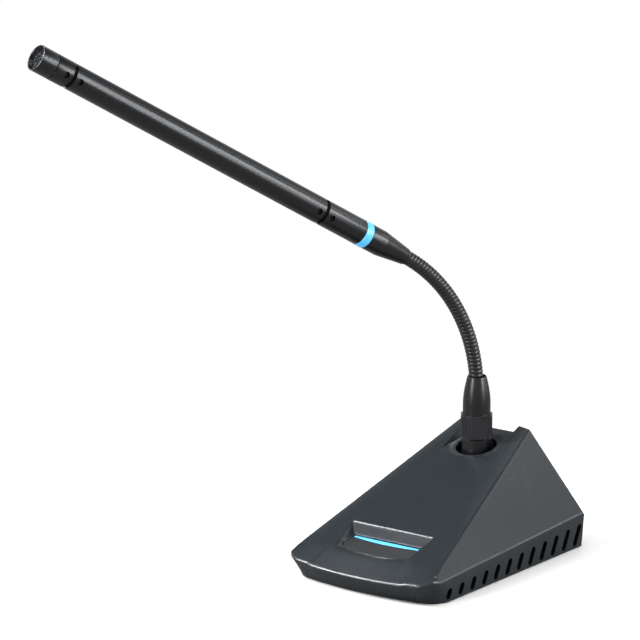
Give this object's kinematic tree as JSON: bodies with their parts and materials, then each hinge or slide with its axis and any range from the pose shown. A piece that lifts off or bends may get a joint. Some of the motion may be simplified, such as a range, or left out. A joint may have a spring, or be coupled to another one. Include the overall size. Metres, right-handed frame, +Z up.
{
  "type": "gooseneck microphone",
  "caption": "Desk microphone: wedge base with a lit talk key, plug-in flexible neck and a long slim tube with a light ring behind its sound slots.",
  "frame": {"origin": "centre of the base's plan, on the desk", "axes": "+Z up, -Y the front of the base, where the talk key is, +X the base's right"},
  "size_m": [0.1893, 0.328, 0.3532],
  "materials": {
    "shell_plastic": "fine satin texture",
    "black_metal": "satin black coat",
    "ring_metal": "satin black coat, fine knurl",
    "neck_metal": "satin black wound wire",
    "plate_metal": "matt black coat",
    "ballast_steel": "mill finish",
    "foot_rubber": "matt",
    "screw_steel": "plain",
    "insulator": "matt",
    "contact_brass": "plain",
    "board": "solder mask",
    "key_plastic": "fine satin texture",
    "key_light": "lit light guide",
    "ring_light": "lit light guide",
    "mesh_steel": "woven"
  },
  "bodies": {
    "base": {"base_shell": "shell_plastic", "bottom_plate": "plate_metal", "ballast_plate": "ballast_steel", "rubber_feet": "foot_rubber", "bottom_screws": "screw_steel", "socket_pillar": "black_metal", "socket_screws": "screw_steel", "socket_insert": "insulator", "socket_contacts": "contact_brass", "main_board": "board", "board_standoffs": "contact_brass", "board_screws": "screw_steel", "board_parts": "insulator", "rear_jack": "insulator", "jack_nut": "screw_steel", "key_board": "board", "key_board_screws": "screw_steel", "key_switch": "insulator", "key_leds": "key_light"},
    "key": {"talk_key": "key_plastic", "key_light_bar": "key_light", "switch_plunger": "insulator"},
    "plug": {"plug_shell": "black_metal", "plug_insert": "insulator", "plug_pins": "contact_brass", "neck_root": "neck_metal"},
    "ring": {"lock_ring": "ring_metal"},
    "link_1": {"neck_link_1": "neck_metal"},
    "link_2": {"neck_link_2": "neck_metal"},
    "link_3": {"neck_link_3": "neck_metal"},
    "link_4": {"neck_link_4": "neck_metal"},
    "link_5": {"neck_link_5": "neck_metal"},
    "link_6": {"neck_link_6": "neck_metal"},
    "link_7": {"neck_link_7": "neck_metal"},
    "link_8": {"neck_link_8": "neck_metal"},
    "link_9": {"neck_link_9": "neck_metal"},
    "arm": {"neck_tip": "neck_metal", "tail_cone": "black_metal", "light_ring": "ring_light", "ring_led_board": "board", "mic_tube": "black_metal", "rear_sleeve": "insulator", "front_sleeve": "insulator", "set_screws": "screw_steel", "front_cap": "black_metal", "mouth_mesh": "mesh_steel", "capsule": "contact_brass", "capsule_holder": "foot_rubber", "capsule_gasket": "foot_rubber", "preamp_board": "board"}
  },
  "joints": [
    {"name": "talk_press", "type": "slide", "parent": "base", "child": "key", "axis": [0, 0.1219, -0.9925], "range_m": [0, 0.0015], "stiffness_N_per_m": 800, "springref_m": -0.001},
    {"name": "plug_lift", "type": "slide", "parent": "base", "child": "plug", "axis": [0, 0, 1], "range_m": [0, 0.02]},
    {"name": "ring_turn", "type": "hinge", "parent": "plug", "child": "ring", "pos_m": [0, 0.04865, 0.08], "axis": [0, 0, 1], "continuous": true},
    {"name": "neck_pitch_1", "type": "hinge", "parent": "plug", "child": "link_1", "pos_m": [-0.00037, 0.04779, 0.11584], "axis": [0.9178, -0.3971, 0], "range_deg": [-24, 6]},
    {"name": "neck_side_1", "type": "hinge", "parent": "link_1", "child": "link_2", "pos_m": [-0.0011, 0.0461, 0.12624], "axis": [0.3874, 0.8951, 0.2207], "range_deg": [-12, 12]},
    {"name": "neck_pitch_2", "type": "hinge", "parent": "link_2", "child": "link_3", "pos_m": [-0.00222, 0.04351, 0.13642], "axis": [0.9178, -0.3971, 0], "range_deg": [-24, 6]},
    {"name": "neck_side_2", "type": "hinge", "parent": "link_3", "child": "link_4", "pos_m": [-0.00373, 0.04004, 0.14628], "axis": [0.3635, 0.84, 0.4027], "range_deg": [-12, 12]},
    {"name": "neck_pitch_3", "type": "hinge", "parent": "link_4", "child": "link_5", "pos_m": [-0.0056, 0.03572, 0.15573], "axis": [0.9178, -0.3971, 0], "range_deg": [-24, 6]},
    {"name": "neck_side_3", "type": "hinge", "parent": "link_5", "child": "link_6", "pos_m": [-0.00782, 0.03058, 0.16468], "axis": [0.3263, 0.7541, 0.57], "range_deg": [-12, 12]},
    {"name": "neck_pitch_4", "type": "hinge", "parent": "link_6", "child": "link_7", "pos_m": [-0.01037, 0.02468, 0.17306], "axis": [0.9178, -0.3971, 0], "range_deg": [-24, 6]},
    {"name": "neck_side_4", "type": "hinge", "parent": "link_7", "child": "link_8", "pos_m": [-0.01323, 0.01807, 0.18078], "axis": [0.2771, 0.6404, 0.7163], "range_deg": [-12, 12]},
    {"name": "neck_pitch_5", "type": "hinge", "parent": "link_8", "child": "link_9", "pos_m": [-0.01637, 0.01081, 0.18778], "axis": [0.9178, -0.3971, 0], "range_deg": [-24, 6]},
    {"name": "neck_side_5", "type": "hinge", "parent": "link_9", "child": "arm", "pos_m": [-0.01977, 0.00297, 0.19399], "axis": [0.2178, 0.5032, 0.8363], "range_deg": [-12, 12]}
  ]
}
